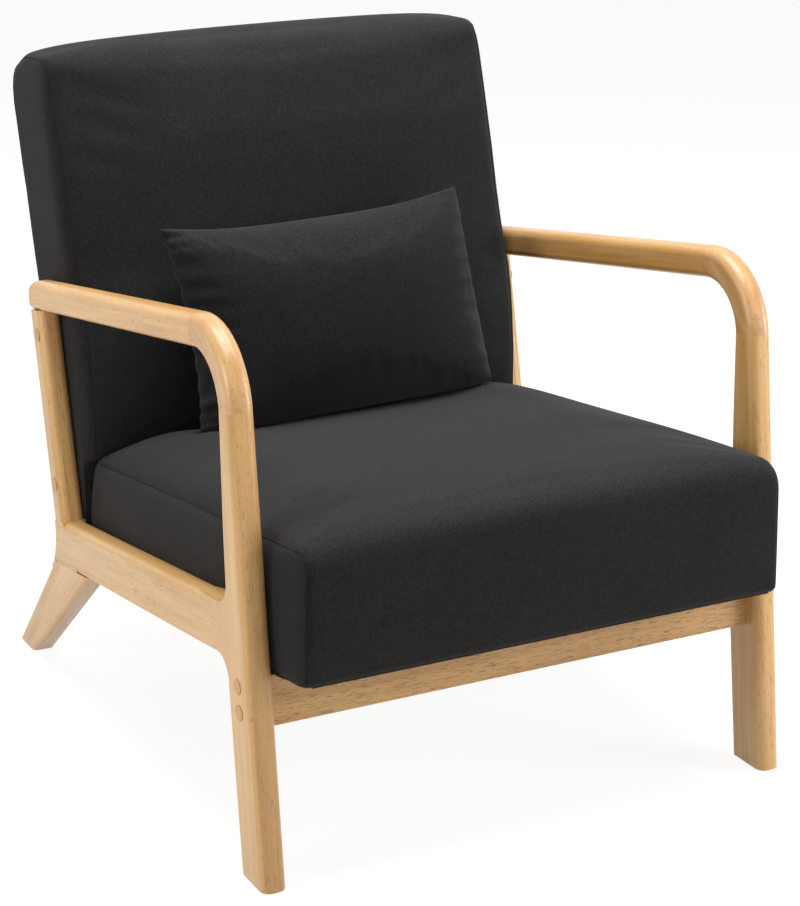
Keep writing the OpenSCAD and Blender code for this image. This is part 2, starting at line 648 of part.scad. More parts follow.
// Rounded rectangle loop in [-1, 1], counter-clockwise from the front left
loop_x = 9;
loop_y = 5;
loop_c = 4;
loop_n = 2 * (loop_x + loop_y) + 4 * loop_c;
function loop(rx, ry) = let (a = 1 - rx, b = 1 - ry) concat(
    [for (i = [0:loop_x - 1]) [-a + 2 * a * i / loop_x, -1]],
    [for (i = [0:loop_c - 1]) let (t = 90 * i / loop_c) [a + rx * sin(t), -b - ry * cos(t)]],
    [for (i = [0:loop_y - 1]) [1, -b + 2 * b * i / loop_y]],
    [for (i = [0:loop_c - 1]) let (t = 90 * i / loop_c) [a + rx * cos(t), b + ry * sin(t)]],
    [for (i = [0:loop_x - 1]) [a - 2 * a * i / loop_x, 1]],
    [for (i = [0:loop_c - 1]) let (t = 90 * i / loop_c) [-a - rx * sin(t), b + ry * cos(t)]],
    [for (i = [0:loop_y - 1]) [-1, b - 2 * b * i / loop_y]],
    [for (i = [0:loop_c - 1]) let (t = 90 * i / loop_c) [-a - rx * cos(t), -b - ry * sin(t)]]);
function skin_faces(n, m) = [for (k = [0:m - 2], i = [0:n - 1])
    let (a = k * n + i, b = k * n + (i + 1) % n) each [[a, a + n, b + n], [a, b + n, b]]];
function loft_faces(n, m) = concat([for (i = [0:n - 1]) [i, (i + 1) % n, m * n + 1]], skin_faces(n, m),
    [for (i = [0:n - 1]) [(m - 1) * n + i, m * n, (m - 1) * n + (i + 1) % n]]);

// Seat cover: straight sides that swell a little, then a crowned top drawn in at the seam
seat_mid_y = (seat_rear - seat_front) / 2;
seat_half_d = (seat_rear + seat_front) / 2;
corner_r = 16;

seat_loop = loop(corner_r / seat_half_w, corner_r / seat_half_d);
side_shares = [0, 0.12, 0.4, 0.7, 0.88, 0.96, 1]; // heights of the side rings
swell_shares = [0, 0.5, 1, 1, 0.6, 0.3, 0];
front_in_shares = [0, 0, 0, 0, 0.15, 0.45, 1]; // how far the front edge has rolled back
front_roll = 12;
front_swell_share = 0.7;
crown_shares = [0.975, 0.93, 0.86, 0.74, 0.58, 0.38, 0.18]; // plan size of the crown rings
function crown(s) = pow(1 - pow(s, 2.2), 0.5);
function seat_point(p, s, z, out, roll) =
    let (f = max(0, -p[1]) * pow(max(0, -p[1]), 8),
        x = p[0] * (seat_half_w * s + out),
        y = seat_mid_y + p[1] * (seat_half_d * s + (p[1] < 0 ? out * front_swell_share : 0)) + roll * f)
    [x, min(y, seat_rear), seat_low(min(y, seat_rear)) + z];
seat_rings = concat(
    [for (k = [0:len(side_shares) - 1]) [for (p = seat_loop)
        seat_point(p, 1, seat_h * side_shares[k], seat_swell * swell_shares[k], front_roll * front_in_shares[k])]],
    [for (s = crown_shares) [for (p = seat_loop)
        seat_point(p, s, seat_h + seat_crown * crown(s), 0, front_roll * s)]]);
module seat_skin() polyhedron(points = concat([for (r = seat_rings) each r],
    [[0, seat_mid_y, seat_low(seat_mid_y) + seat_h + seat_crown], [0, seat_mid_y, seat_low(seat_mid_y)]]),
    faces = loft_faces(loop_n, len(seat_rings)));
module seat_cover() color(cloth) placed() difference() {
    seat_skin();
    across(seat_in_half) difference() {
        seat_band(seat_in_front, seat_in_rear, -dust_t, foam_high);
        hollow(foam_top_p, -seat_slope, foam_front_p, 90, foam_c, foam_round);
    }
    joiner_holes(joiner_d + dowel_clear);
}

// Back structure
module back_board() difference() {
    translate([insert_x, 0, 0]) side(board_t) polygon([[board_low_y, board_low_z],
        at_z(back_in_p, back_a, board_low_z), at_z(back_in_p, back_a, board_top_z),
        at_z(board_front_p, back_a, board_top_z), at_y(board_front_p, back_a, board_low_y)]);
    for (p = back_bolt_sites) cross_bore(p, insert_d + dowel_clear / 2, 0, insert_x + board_t + bore_over);
}
module back_left_board() left(inner_wood) back_board();
module back_right_board() right(inner_wood) back_board();
between = board_half - board_t;
module back_top_bar() color(inner_wood) placed() across(between) polygon([
    at_z(back_in_p, back_a, board_top_z), at_z(back_in_p, back_a, board_top_z - back_bar_t),
    at_z(back_in_p, back_a, board_top_z - back_bar_t) - [back_bar_d, 0],
    at_z(back_in_p, back_a, board_top_z) - [back_bar_d, 0]]);
module back_bottom_bar() color(inner_wood) placed() difference() {
    translate([-between, board_low_y, board_low_z]) cube([2 * between, back_bar_t, back_low_bar_h]);
    joiner_holes(joiner_d + dowel_clear);
}
strap_front_p = board_front_p - [strap_t / cos(back_lean), 0];
module back_webbing() color([0.3, 0.28, 0.26]) placed() for (s = strap_shares)
    let (z = back_low_z + s * (back_top_z - back_low_z)) across(board_half) polygon([
        at_z(board_front_p, back_a, z), at_z(board_front_p, back_a, z + strap_w),
        at_z(strap_front_p, back_a, z + strap_w), at_z(strap_front_p, back_a, z)]);

// Back cover: rings from the underside to the top seam, then a crowned top
function back_rear_at(z) = back_rear_p[0] + (z - arm_level) * tan(back_lean);
function back_front_at(s) = let (z = back_low_z + s * (back_top_z - back_low_z))
    s <= thick_z_shares[0] ? contact_y : min(contact_y + reach * (s - thick_z_shares[0]),
        back_rear_at(z) - back_t * lookup(s, [for (i = [0:len(thick_shares) - 1]) [thick_z_shares[i], thick_shares[i]]]));
back_z_shares = [0, 0.1, 0.2, 0.23, 0.257, 0.31, 0.36, 0.42, 0.48, 0.54, 0.6, 0.68, 0.76, 0.84, 0.9, 0.95, 0.98, 1];
function bulge(s) = back_crown * pow(max(0, min(1, (s - 0.25) / 0.2)), 0.6) * pow(max(0, min(1, (1 - s) / 0.16)), 0.5);
back_loop = loop(0.03, 0.14);
back_crown_shares = [0.96, 0.88, 0.74, 0.54, 0.3];
function back_point(p, s, k, up) =
    let (zf = back_low_z + s * (back_top_z - back_low_z),
        zr = back_low_z + s * (back_top_z - rear_top_drop - back_low_z), w = (p[1] * k + 1) / 2,
        yf = back_front_at(s), yr = back_rear_at(zr),
        hw = back_half_w + (back_side_half - back_half_w) * pow(min(1, w / 0.22), 0.7) * (s < 0.9 ? 1 : 1 - (s - 0.9) * 5),
        front = pow(max(0, -p[1]), 6) * (1 - pow(abs(p[0]), 4)))
    [p[0] * k * hw, max(yf + w * (yr - yf) - (k == 1 ? bulge(s) * front : 0), 0), zf + w * (zr - zf) + up];
back_rings = concat([for (s = back_z_shares) [for (p = back_loop) back_point(p, s, 1, 0)]],
    [for (k = back_crown_shares) [for (p = back_loop) back_point(p, 1, k, back_top_crown * crown(k))]]);
module back_skin_shape() polyhedron(points = concat([for (r = back_rings) each r],
    [back_point([0, 0], 1, 0, back_top_crown), back_point([0, 0], 0, 0, 0)]),
    faces = loft_faces(loop_n, len(back_rings)));
foam_z_shares = [0.32, 0.396, 0.457, 0.507, 0.587, 0.686, 0.778, 0.9];
function foam_front_line() = [for (s = foam_z_shares)
    [back_front_at(s) + back_foam_skin, back_low_z + s * (back_top_z - back_low_z)]];
foam_top_z = back_low_z + foam_z_shares[len(foam_z_shares) - 1] * (back_top_z - back_low_z);
foam_low_z = back_low_z + foam_z_shares[0] * (back_top_z - back_low_z);
module back_foam_profile() polygon(concat(foam_front_line(),
    [at_z(strap_front_p, back_a, foam_top_z), at_z(strap_front_p, back_a, foam_low_z)]));
module back_foam() color(foam) placed() across(back_foam_half) back_foam_profile();
module back_cover() color(cloth) placed() difference() {
    back_skin_shape();
    across(back_foam_half) back_foam_profile();
    across(board_half) polygon([[board_low_y, board_low_z],
        at_z(back_rear_p, back_a, board_low_z) + [reach / 8, 0], at_z(back_rear_p, back_a, board_top_z) + [reach / 8, 0],
        at_z(strap_front_p, back_a, board_top_z), at_y(strap_front_p, back_a, board_low_y)]);
    joiner_holes(joiner_d + dowel_clear);
    for (m = [0, 1]) mirror([m, 0, 0]) translate([-half_w, 0, 0])
        for (p = back_bolt_sites) cross_bore(p, insert_d, 0, insert_x + bore_over);
}
module back_rear_panel() color(cloth) placed() across(board_half) polygon([
    at_z(back_rear_p, back_a, board_low_z), at_z(back_rear_p, back_a, board_top_z),
    at_z(back_in_p, back_a, board_top_z), at_z(back_in_p, back_a, board_low_z)]);

// Pillow: two crowned halves that meet in the seam, sides drawn in between the corners
pillow_x = -6;
pillow_roll = -1.6;
back_ease = 0.6; // what the curved surfaces leave between them
seat_ease = 0.2; // gap left under the pillow's seam
draw_in = 0.05;
// The pillow stands on the seat and leans on the back where the back's curve first meets it
crown_steps = concat([[1, 0]], [for (s = crown_shares) [s, crown(s)]], [[0, 1]]);
function seat_top(x, y) = seat_low(y) + seat_h
    + seat_crown * lookup(max(abs(x) / seat_half_w, abs(y - seat_mid_y) / seat_half_d), crown_steps);
function pillow_rest_z(y) = max([for (u = [-1:0.05:1]) let (x = u * pillow_w / 2,
    down = pillow_h / 2 * (1 - draw_in * (1 - u * u))) seat_top(pillow_x + x, y - down * sin(pillow_lean))
        + down * cos(pillow_lean) + x * sin(pillow_roll)]) + seat_ease;
function back_face_at(z) = let (s = (z - back_low_z) / (back_top_z - back_low_z)) back_front_at(s) - bulge(s);
function pillow_rest_y(z) = min([for (t = [-0.9:0.05:0.9]) let (up = t * pillow_h / 2 * (1 - draw_in),
    rear = pillow_t / 2 * puff(abs(t), [0, 1])) back_face_at(z + up * cos(pillow_lean) - rear * sin(pillow_lean))
        - up * sin(pillow_lean) - rear * cos(pillow_lean)]);
function settled(y, n) = n == 0 ? y : settled(pillow_rest_y(pillow_rest_z(y)), n - 1);
pillow_y = settled(seat_rear, 6) + back_ease;
pillow_z = pillow_rest_z(pillow_y);
pillow_n = 12;
fill_n = 8;
pillow_shares = [1, 0.97, 0.91, 0.82, 0.68, 0.48, 0.24]; // plan size of the pillow rings
fill_shares = [1, 0.93, 0.8, 0.58, 0.3];
fill_scale = 0.985;
function edge_loop(n) = concat([for (i = [0:n - 1]) [-1 + 2 * i / n, -1]], [for (i = [0:n - 1]) [1, -1 + 2 * i / n]],
    [for (i = [0:n - 1]) [1 - 2 * i / n, 1]], [for (i = [0:n - 1]) [-1, 1 - 2 * i / n]]);
function puff(s, p) = pow(1 - pow(s, 2.4), 0.62) * (1 - 0.28 * s * pow(abs(p[0] * p[1]), 2));
function pillow_ring(n, s, side) = [for (p = edge_loop(n))
    [s * p[0] * pillow_w / 2 * (1 - draw_in * (1 - pow(p[1], 2))), -side * pillow_t / 2 * puff(s, p),
        s * p[1] * pillow_h / 2 * (1 - draw_in * (1 - pow(p[0], 2)))]];
function pillow_points(n, shares) = concat([[0, pillow_t / 2, 0]],
    [for (k = [len(shares) - 1:-1:0]) each pillow_ring(n, shares[k], -1)],
    [for (k = [1:len(shares) - 1]) each pillow_ring(n, shares[k], 1)], [[0, -pillow_t / 2, 0]]);
module puffed(n, shares) {
    c = 4 * n;
    m = 2 * len(shares) - 1;
    polyhedron(points = pillow_points(n, shares), faces = concat(
        [for (i = [0:c - 1]) [0, 1 + i, 1 + (i + 1) % c]],
        [for (k = [0:m - 2], i = [0:c - 1]) let (a = 1 + k * c + i, b = 1 + k * c + (i + 1) % c) each
            [[a, a + c, b + c], [a, b + c, b]]],
        [for (i = [0:c - 1]) [1 + (m - 1) * c + i, 1 + m * c, 1 + (m - 1) * c + (i + 1) % c]]));
}
module pillow_pose() translate([pillow_x, pillow_y, pillow_z]) rotate([-pillow_lean, 0, 0])
    rotate([0, pillow_roll, 0]) children();
module pillow_filling() color(foam) placed() pillow_pose() scale(fill_scale) puffed(fill_n, fill_shares);
module pillow_cover() color(cloth) placed() pillow_pose() difference() {
    puffed(pillow_n, pillow_shares);
    scale(fill_scale) puffed(fill_n, fill_shares);
}

left_front_leg();
right_front_leg();
left_elbow();
right_elbow();
left_armrest();
right_armrest();
left_rear_post();
right_rear_post();
left_side_rail();
right_side_rail();
left_rear_leg();
right_rear_leg();
left_frame_dowels();
right_frame_dowels();
front_rail();
front_rail_bolts();
front_rail_nuts();
back_bolts();
back_insert_nuts();
bolt_plugs();
foot_glides();
seat_front_bar();
seat_rear_bar();
seat_left_bar();
seat_right_bar();
seat_corner_blocks();
seat_springs();
spring_clips();
seat_foam();
seat_cover();
seat_dust_cover();
seat_brackets();
bracket_screws();
seat_back_bolts();
back_left_board();
back_right_board();
back_top_bar();
back_bottom_bar();
back_webbing();
back_foam();
back_cover();
back_rear_panel();
pillow_filling();
pillow_cover();
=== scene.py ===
import math

import bmesh
import bpy
import numpy as np
from mathutils.bvhtree import BVHTree
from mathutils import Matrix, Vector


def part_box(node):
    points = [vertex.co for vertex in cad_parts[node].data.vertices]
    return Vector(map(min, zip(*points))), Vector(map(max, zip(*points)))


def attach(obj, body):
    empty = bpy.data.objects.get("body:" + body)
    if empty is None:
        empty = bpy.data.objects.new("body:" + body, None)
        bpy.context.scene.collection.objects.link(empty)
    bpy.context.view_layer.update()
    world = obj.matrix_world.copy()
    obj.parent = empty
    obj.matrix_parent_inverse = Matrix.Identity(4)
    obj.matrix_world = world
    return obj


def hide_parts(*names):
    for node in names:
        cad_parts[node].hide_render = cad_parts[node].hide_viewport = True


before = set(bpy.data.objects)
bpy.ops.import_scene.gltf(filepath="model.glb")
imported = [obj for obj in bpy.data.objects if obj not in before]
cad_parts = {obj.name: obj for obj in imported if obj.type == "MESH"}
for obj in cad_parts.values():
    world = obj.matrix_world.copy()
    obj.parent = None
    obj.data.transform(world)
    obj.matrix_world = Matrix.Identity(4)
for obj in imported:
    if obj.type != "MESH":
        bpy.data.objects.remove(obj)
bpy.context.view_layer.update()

scene = bpy.context.scene
scene.view_settings.view_transform = "Standard"

# ---- Camera -----------------------------------------------------------------------------------
# The photograph's eye point: ahead of the chair and to its left, well above the armrests, looking
# 18.5 degrees down through a long lens. Fitted to the feet, the plugs and the frame edges.
eye = bpy.data.cameras.new("eye")
eye.lens = 94.06
eye.sensor_width = 36.0
eye.clip_end = 60.0
camera = bpy.data.objects.new("camera", eye)
camera.location = (-1.1858, -2.3442, 1.1963)
camera.rotation_euler = (math.radians(90 - 18.47), math.radians(0.04), math.radians(-27.367))
scene.collection.objects.link(camera)
scene.camera = camera


# ---- Floor and light --------------------------------------------------------------------------
# A plain pale floor that runs out to the horizon, under a large soft lamp overhead and a wide
# soft lamp at each side, as in a product studio. The floor keeps the chair's shadow.
class S:
    """A node socket with arithmetic: each operator adds one Math node to the socket's tree"""

    def __init__(self, tree, out):
        self.tree, self.out = tree, out

    def node(self, kind, settings=None, output=0, **sockets):
        """Adds a node: its settings first, then its sockets, given by name or as _0, _1 by number"""
        n = self.tree.nodes.new(kind)
        for key, value in (settings or {}).items():
            setattr(n, key, value)
        for key, value in sockets.items():
            socket = n.inputs[int(key[1:])] if key[0] == "_" else n.inputs[key.replace("_", " ")]
            if isinstance(value, S):
                self.tree.links.new(value.out, socket)
            else:
                socket.default_value = value
        return S(self.tree, n.outputs[output])

    def math(self, op, a, b=None, clamp=False):
        inputs = {"_0": a} if b is None else {"_0": a, "_1": b}
        return self.node("ShaderNodeMath", {"operation": op, "use_clamp": clamp}, **inputs)

    def __add__(self, o): return self.math("ADD", self, o)
    def __radd__(self, o): return self.math("ADD", o, self)
    def __sub__(self, o): return self.math("SUBTRACT", self, o)
    def __rsub__(self, o): return self.math("SUBTRACT", o, self)
    def __mul__(self, o): return self.math("MULTIPLY", self, o)
    def __rmul__(self, o): return self.math("MULTIPLY", o, self)
    def clamp(self): return self.math("ADD", self, 0.0, clamp=True)

    def step(self, low, high):
        """0 below low, 1 above high, smooth between"""
        return self.node("ShaderNodeMapRange", {"interpolation_type": "SMOOTHSTEP"}, Value=self,
                         From_Min=low, From_Max=high)

    def mix(self, a, b):
        """Colour a where this mask is 0 and colour b where it is 1"""
        tone = lambda c: c if isinstance(c, S) else (*c, 1.0)
        return self.node("ShaderNodeMix", {"data_type": "RGBA"}, output=2, _0=self, _6=tone(a), _7=tone(b))

    def part(self, k):
        """X, Y or Z of this vector, for k = 0, 1 or 2"""
        return self.node("ShaderNodeSeparateXYZ", output=k, Vector=self)

    def noise(self, scale, detail, rough=0.5):
        """Soft noise over this vector, with scale cells to its unit and finer octaves by detail"""
        return self.node("ShaderNodeTexNoise", Vector=self, Scale=scale, Detail=detail, Roughness=rough)


def finish_of(name, roughness, **fixed):
    """A new material; returns it, its shader node and the Object coordinates as a socket"""
    material = bpy.data.materials.new(name)
    material.use_nodes = True
    tree = material.node_tree
    shader = tree.nodes["Principled BSDF"]
    shader.inputs["Roughness"].default_value = roughness
    for key, value in fixed.items():
        shader.inputs[key.replace("_", " ")].default_value = value
    where = S(tree, tree.nodes.new("ShaderNodeTexCoord").outputs["Object"])
    return material, shader, where


def facing_of(where):
    """The way the surface faces, from the node that gives the Object coordinates"""
    return S(where.tree, where.out.node.outputs["Normal"])


def feed(socket, value):
    value.tree.links.new(value.out, socket)


def to_the_eye(socket):
    """1 for the rays that make the picture, 0 for those that light the chair"""
    return sum(socket.node("ShaderNodeLightPath", output=f"Is {kind} Ray")
               for kind in ("Camera", "Glossy", "Transmission")).clamp()


def sheet_mesh(name, points, faces):
    mesh = bpy.data.meshes.new(name)
    mesh.from_pydata(points, [], faces)
    obj = bpy.data.objects.new(name, mesh)
    scene.collection.objects.link(obj)
    return obj


floor = sheet_mesh("floor", [(-14, -14, 0), (14, -14, 0), (14, 14, 0), (-14, 14, 0)], [(0, 1, 2, 3)])
floor_paint, floor_shader, where = finish_of("floor_paint", 0.9)
floor_shader.inputs["Base Color"].default_value = (0.78, 0.74, 0.68, 1)
plain = S(floor_paint.node_tree, floor_shader.outputs[0])
lit = where.node("ShaderNodeAddShader",
                 _0=where.node("ShaderNodeEmission", Color=(1, 1, 1, 1), Strength=0.9),
                 _1=where.node("ShaderNodeBsdfDiffuse", Color=(0.2, 0.2, 0.2, 1)))
feed(floor_paint.node_tree.nodes["Material Output"].inputs["Surface"],
     where.node("ShaderNodeMixShader", _0=to_the_eye(where), _1=plain, _2=lit))
floor.data.materials.append(floor_paint)

sky = bpy.data.worlds.new("studio")
scene.world = sky
sky.use_nodes = True
ground = S(sky.node_tree, sky.node_tree.nodes["Background"].outputs[0])
white = ground.node("ShaderNodeBackground", Color=(1, 1, 1, 1), Strength=1.0)
soft = ground.node("ShaderNodeBackground", Color=(1.0, 0.88, 0.74, 1), Strength=0.28)
feed(sky.node_tree.nodes["World Output"].inputs["Surface"],
     ground.node("ShaderNodeMixShader", _0=to_the_eye(ground), _1=soft, _2=white))


def lamp(name, at, aim, size, watts, tone):
    light = bpy.data.lights.new(name, "AREA")
    light.shape, light.size, light.size_y = "RECTANGLE", *size
    light.energy, light.color = watts, tone
    obj = bpy.data.objects.new(name, light)
    obj.location = at
    way = np.subtract(aim, at)
    pitch, yaw = math.acos(-way[2] / np.linalg.norm(way)), math.atan2(way[1], way[0]) - math.pi / 2
    obj.rotation_euler = (pitch, 0, yaw)
    scene.collection.objects.link(obj)


lamp("overhead", (0.1, 0.0, 3.0), (0, 0, 0.3), (2.0, 2.0), 92, (0.99, 0.99, 1.0))
lamp("left_side", (-3.1, -0.5, 1.3), (0, 0, 0.4), (1.2, 1.4), 33, (0.98, 0.98, 0.9))
lamp("right_side", (2.2, -1.7, 0.9), (0.1, 0, 0.35), (1.0, 1.2), 41, (1.0, 0.97, 0.93))


# ---- Side frames ------------------------------------------------------------------------------
# Front leg, elbow, armrest, rear post, side rail and rear leg of each side, glued up from solid
# light hardwood with straight grain along each piece, sanded round and finished in satin lacquer.
# The front of the left front leg is painted darker below the hip: painted shade.
sapwood = (0.725, 0.468, 0.205), (0.545, 0.295, 0.088)
# darker tones for painted shade on the front faces of a leg
painted_shade_tones = (0.56, 0.34, 0.13), (0.4, 0.22, 0.07)
pore_tone = (0.29, 0.125, 0.04)
hip_low, hip_high = 0.25, 0.52  # heights between which the painted shade on a leg's front fades out upwards


def grain(where, along, seed):
    """Object coordinates turned so that their X runs along the piece, and shifted by the seed"""
    a = np.array(along, float) / np.linalg.norm(along)
    pitch, yaw = -math.asin(a[2]), math.atan2(a[1], a[0])
    return where.node("ShaderNodeMapping", {"vector_type": "TEXTURE"}, Vector=where,
                      Rotation=(0, pitch, yaw), Location=(seed * 0.37, seed * 0.11, seed * 0.23))


def stretched(p, along, across):
    """The grain coordinates in cells: so many to the metre along the grain, and across it"""
    return p.node("ShaderNodeMapping", Vector=p, Scale=(along, across, across))


def lacquered(name, along, seed, light=sapwood[0], dark=sapwood[1], pores=1.0, dense=0.04, shade=0.0):
    """Wood: slow colour drift, growth lines warped along the grain, fine fibres, short dark pores;
    the faces towards the front show more pores (dense), and shade paints them darker below the
    hip, as painted shade"""
    wood, shader, where = finish_of(name, 0.36, Coat_Weight=0.22, Coat_Roughness=0.22, IOR=1.5)
    p = grain(where, along, seed)
    drift = stretched(p, 2.2, 16).noise(1.0, 2.0, 0.55)
    bend = stretched(p, 5, 30).noise(1.0, 1.0, 0.55)
    rings = p.math("SINE", p.part(1) * 260 + p.part(2) * 90 + bend * 7.5) * 0.5 + 0.5
    fibre = stretched(p, 14, 620).noise(1.0, 3.0, 0.65)
    streak = stretched(p, 6, 150).noise(1.0, 2.0, 0.55)
    tone = ((drift - 0.5) * 1.1 + (rings - 0.5) * 0.4 + (fibre - 0.5) * 0.75 + (streak - 0.5) * 1.1
            + 0.42).clamp()
    ahead = (facing_of(where).part(1) * -1.0).step(0.5, 0.9)
    pore = (stretched(p, 75, 950).noise(1.0, 1.0, 0.55) + ahead * dense).step(0.665, 0.73) * pores
    below_hip = 1.0 - where.part(2).step(hip_low, hip_high)
    # painted shade: by shade, the front faces below the hip take the darker tones in place of the wood's
    # own
    body = (ahead * below_hip * shade).mix(tone.mix(light, dark), tone.mix(*painted_shade_tones))
    feed(shader.inputs["Base Color"], (pore * 0.62).mix(body, pore_tone))
    feed(shader.inputs["Roughness"], 0.33 + (fibre - 0.5) * 0.22 + pore * 0.2)
    rise = p.node("ShaderNodeBump", Strength=0.22, Distance=0.0006, Height=fibre * 0.35 - pore)
    feed(shader.inputs["Normal"], rise)
    return wood


def coat(node, material):
    """Gives a CAD node its one material"""
    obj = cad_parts[node]
    obj.data.materials.clear()
    obj.data.materials.append(material)


slope = lambda degrees: (0, math.cos(math.radians(degrees)), math.sin(math.radians(degrees)))
ways = {"front_leg": slope(83.5), "elbow": slope(40), "armrest": slope(-9), "rear_post": slope(78),
        "side_rail": slope(-8.4), "rear_leg": slope(-43)}
tones = {"elbow": {"light": (0.68, 0.42, 0.195), "dark": (0.49, 0.255, 0.085)},
         "armrest": {"light": (0.735, 0.45, 0.19), "dark": (0.545, 0.28, 0.078)}}
for i, (piece, way) in enumerate(ways.items()):
    for k, side in enumerate(("left", "right")):
        seed = 3.1 * i + 17.3 * k + 1.7
        # painted shade: the left front leg's front faces are painted darker below the hip
        shade = 0.8 if (piece, side) == ("front_leg", "left") else 0.0
        coat(f"{side}_{piece}",
             lacquered(f"{side}_{piece}_wood", way, seed, shade=shade, **tones.get(piece, {})))


# ---- Front rail, plugs and glides -------------------------------------------------------------
# The rail under the seat is the same wood with its grain across the chair. Round plugs of a
# redder wood close the bolt heads, and dark plastic glides are pressed under the feet.
coat("front_rail", lacquered("front_rail_wood", (1, 0, 0), 41.0, (0.6, 0.37, 0.15), (0.42, 0.22, 0.07),
                             pores=1.3, dense=0.085))
coat("bolt_plugs", lacquered("plug_wood", (0, 0.2, 1), 55.0, (0.6, 0.31, 0.075), (0.47, 0.2, 0.035),
                             pores=0.8))
glide, glide_shader, where = finish_of("glide_plastic", 0.6)
feed(glide_shader.inputs["Base Color"],
     where.noise(900.0, 2.0).step(0.3, 0.7).mix((0.05, 0.05, 0.052), (0.075, 0.075, 0.078)))
coat("foot_glides", glide)


# ---- Seat cushion -----------------------------------------------------------------------------
# Foam over springs in a charcoal woven cover: one long panel is carried round the rear, the top,
# the front and the underside, and sewn to two side panels. The seams stay put, and the panels
# between them swell.
def woven(name, light, dark, thread=0.0016):
    """Plain weave along the face's own axes, speckled yarns, slow wear in tone, a soft sheen; the
    faces that look up are painted paler, a painted top light"""
    cloth, shader, where = finish_of(name, 0.9, Sheen_Weight=0.06, Sheen_Roughness=0.6,
                                     Specular_IOR_Level=0.1)
    facing = facing_of(where)
    side_on = facing.math("ABSOLUTE", facing.part(0)).step(0.55, 0.75)
    level = facing.math("ABSOLUTE", facing.part(2)).step(0.6, 0.8)
    wave = [where.math("SINE", where.part(k) * (math.pi / thread)) for k in range(3)]
    over = wave[0] * wave[2] * (1 - level) + wave[0] * wave[1] * level
    knit = over * (1 - side_on) + wave[1] * wave[2] * side_on
    yarn = where.noise(640.0, 2.0, 0.6)
    lint = where.noise(210.0, 3.0, 0.7)
    drift = where.noise(9.0, 3.0, 0.6)
    # painted top light: faces that look up are painted paler, standing in for the light from above
    painted_toplight = facing.part(2).step(0.22, 0.95)
    tone = (0.46 + knit * 0.03 + (yarn - 0.5) * 1.9 + (lint - 0.5) * 1.0 + (drift - 0.5) * 0.5).clamp()
    # paler copies of the weave's tones for the painted top light
    toplit_light, toplit_dark = [k * 1.55 for k in light], [k * 1.65 for k in dark]
    feed(shader.inputs["Base Color"], painted_toplight.mix(tone.mix(dark, light), tone.mix(toplit_dark, toplit_light)))
    feed(shader.inputs["Roughness"], 0.86 + (yarn - 0.5) * 0.2)
    feed(shader.inputs["Normal"], where.node("ShaderNodeBump", Strength=0.5, Distance=0.0005,
                                             Height=knit * 0.1 + yarn * 1.2 + lint * 0.6))
    return cloth


def corner_line(corners, radii, step=0.0065):
    """A closed line through the corners, each turned into an arc of its radius, in even steps"""
    corners, out = [np.array(c, float) for c in corners], []
    for i, (c, r) in enumerate(zip(corners, radii)):
        a, b = corners[i - 1] - c, corners[(i + 1) % len(corners)] - c
        a, b = a / np.linalg.norm(a), b / np.linalg.norm(b)
        half = math.acos(np.clip(a @ b, -1, 1)) / 2
        middle = c + (a + b) / np.linalg.norm(a + b) * r / math.sin(half)
        t0, t1 = c + a * r / math.tan(half) - middle, c + b * r / math.tan(half) - middle
        turn = math.atan2(t0[0] * t1[1] - t0[1] * t1[0], t0 @ t1)
        t = np.linspace(0, turn, 12)[:, None]
        out.append(middle + t0 * np.cos(t) + np.array([-t0[1], t0[0]]) * np.sin(t))
    line = np.concatenate(out)
    line = np.concatenate([line, line[:1]])
    run = np.concatenate([[0], np.cumsum(np.linalg.norm(np.diff(line, axis=0), axis=1))])
    even = np.linspace(0, run[-1], int(run[-1] / step), endpoint=False)
    return np.stack([np.interp(even, run, line[:, k]) for k in (0, 1)], axis=1)


def coords(obj):
    co = np.empty(len(obj.data.vertices) * 3, np.float32)
    obj.data.vertices.foreach_get("co", co)
    return co.reshape(-1, 3).astype(float)


def put(obj, co):
    obj.data.vertices.foreach_set("co", co.astype(np.float32).ravel())
    obj.data.update()


def outward(obj):
    """Merges the points that coincide and turns the faces outwards"""
    b = bmesh.new()
    b.from_mesh(obj.data)
    bmesh.ops.remove_doubles(b, verts=b.verts, dist=1e-5)
    bmesh.ops.recalc_face_normals(b, faces=b.faces)
    b.to_mesh(obj.data)
    b.free()


def net(rows, columns, rows_joined, columns_joined):
    """The quads over a grid of points, row after row, joined up at its ends where that is said"""
    i, j = np.meshgrid(np.arange(rows - 1 + rows_joined), np.arange(columns - 1 + columns_joined),
                       indexing="ij")
    below, beside = (i + 1) % rows, (j + 1) % columns
    return np.stack([i * columns + j, below * columns + j, below * columns + beside, i * columns + beside],
                    axis=-1).reshape(-1, 4)


def boxed(name, line, half_width, crown, swell, arch, across=80, inward=14):
    """A cushion sewn from one panel carried round a closed side line and two flat side panels. The
    panel's point is the line's point, pushed out by crown times the arch over the width. A side
    panel shrinks the line to its middle and moves it out by swell times an arch"""
    t = np.linspace(-1, 1, across + 1)
    arch = (1 - np.abs(t) ** arch[0]) ** arch[1]
    out = np.roll(line, -1, axis=0) - np.roll(line, 1, axis=0)
    out = np.stack([out[:, 1], -out[:, 0]], axis=1) / np.linalg.norm(out, axis=1)[:, None]
    panel = line[None] + out[None] * crown(line)[None, :, None] * arch[:, None, None]
    x = t[:, None] * half_width(line)[None]
    panel = np.concatenate([x[..., None], panel], axis=2)
    k = np.linspace(0, 1, inward + 1)[1:]
    near = line[None] + (line.mean(axis=0) - line)[None] * k[:, None, None]
    bow = (1 - (1 - k) ** 3)[:, None] * swell(near)
    fade = ((1 - k) ** 8)[:, None]
    reach = half_width(line)[None] * fade + (1 - fade) * np.median(half_width(line)) + bow
    sides = [np.concatenate([(s * reach)[..., None], near], axis=2) for s in (-1, 1)]
    rows = np.concatenate([sides[0][::-1], panel, sides[1]])
    obj = sheet_mesh(name, rows.reshape(-1, 3).tolist(), net(len(rows), len(line), False, True).tolist())
    outward(obj)
    return obj


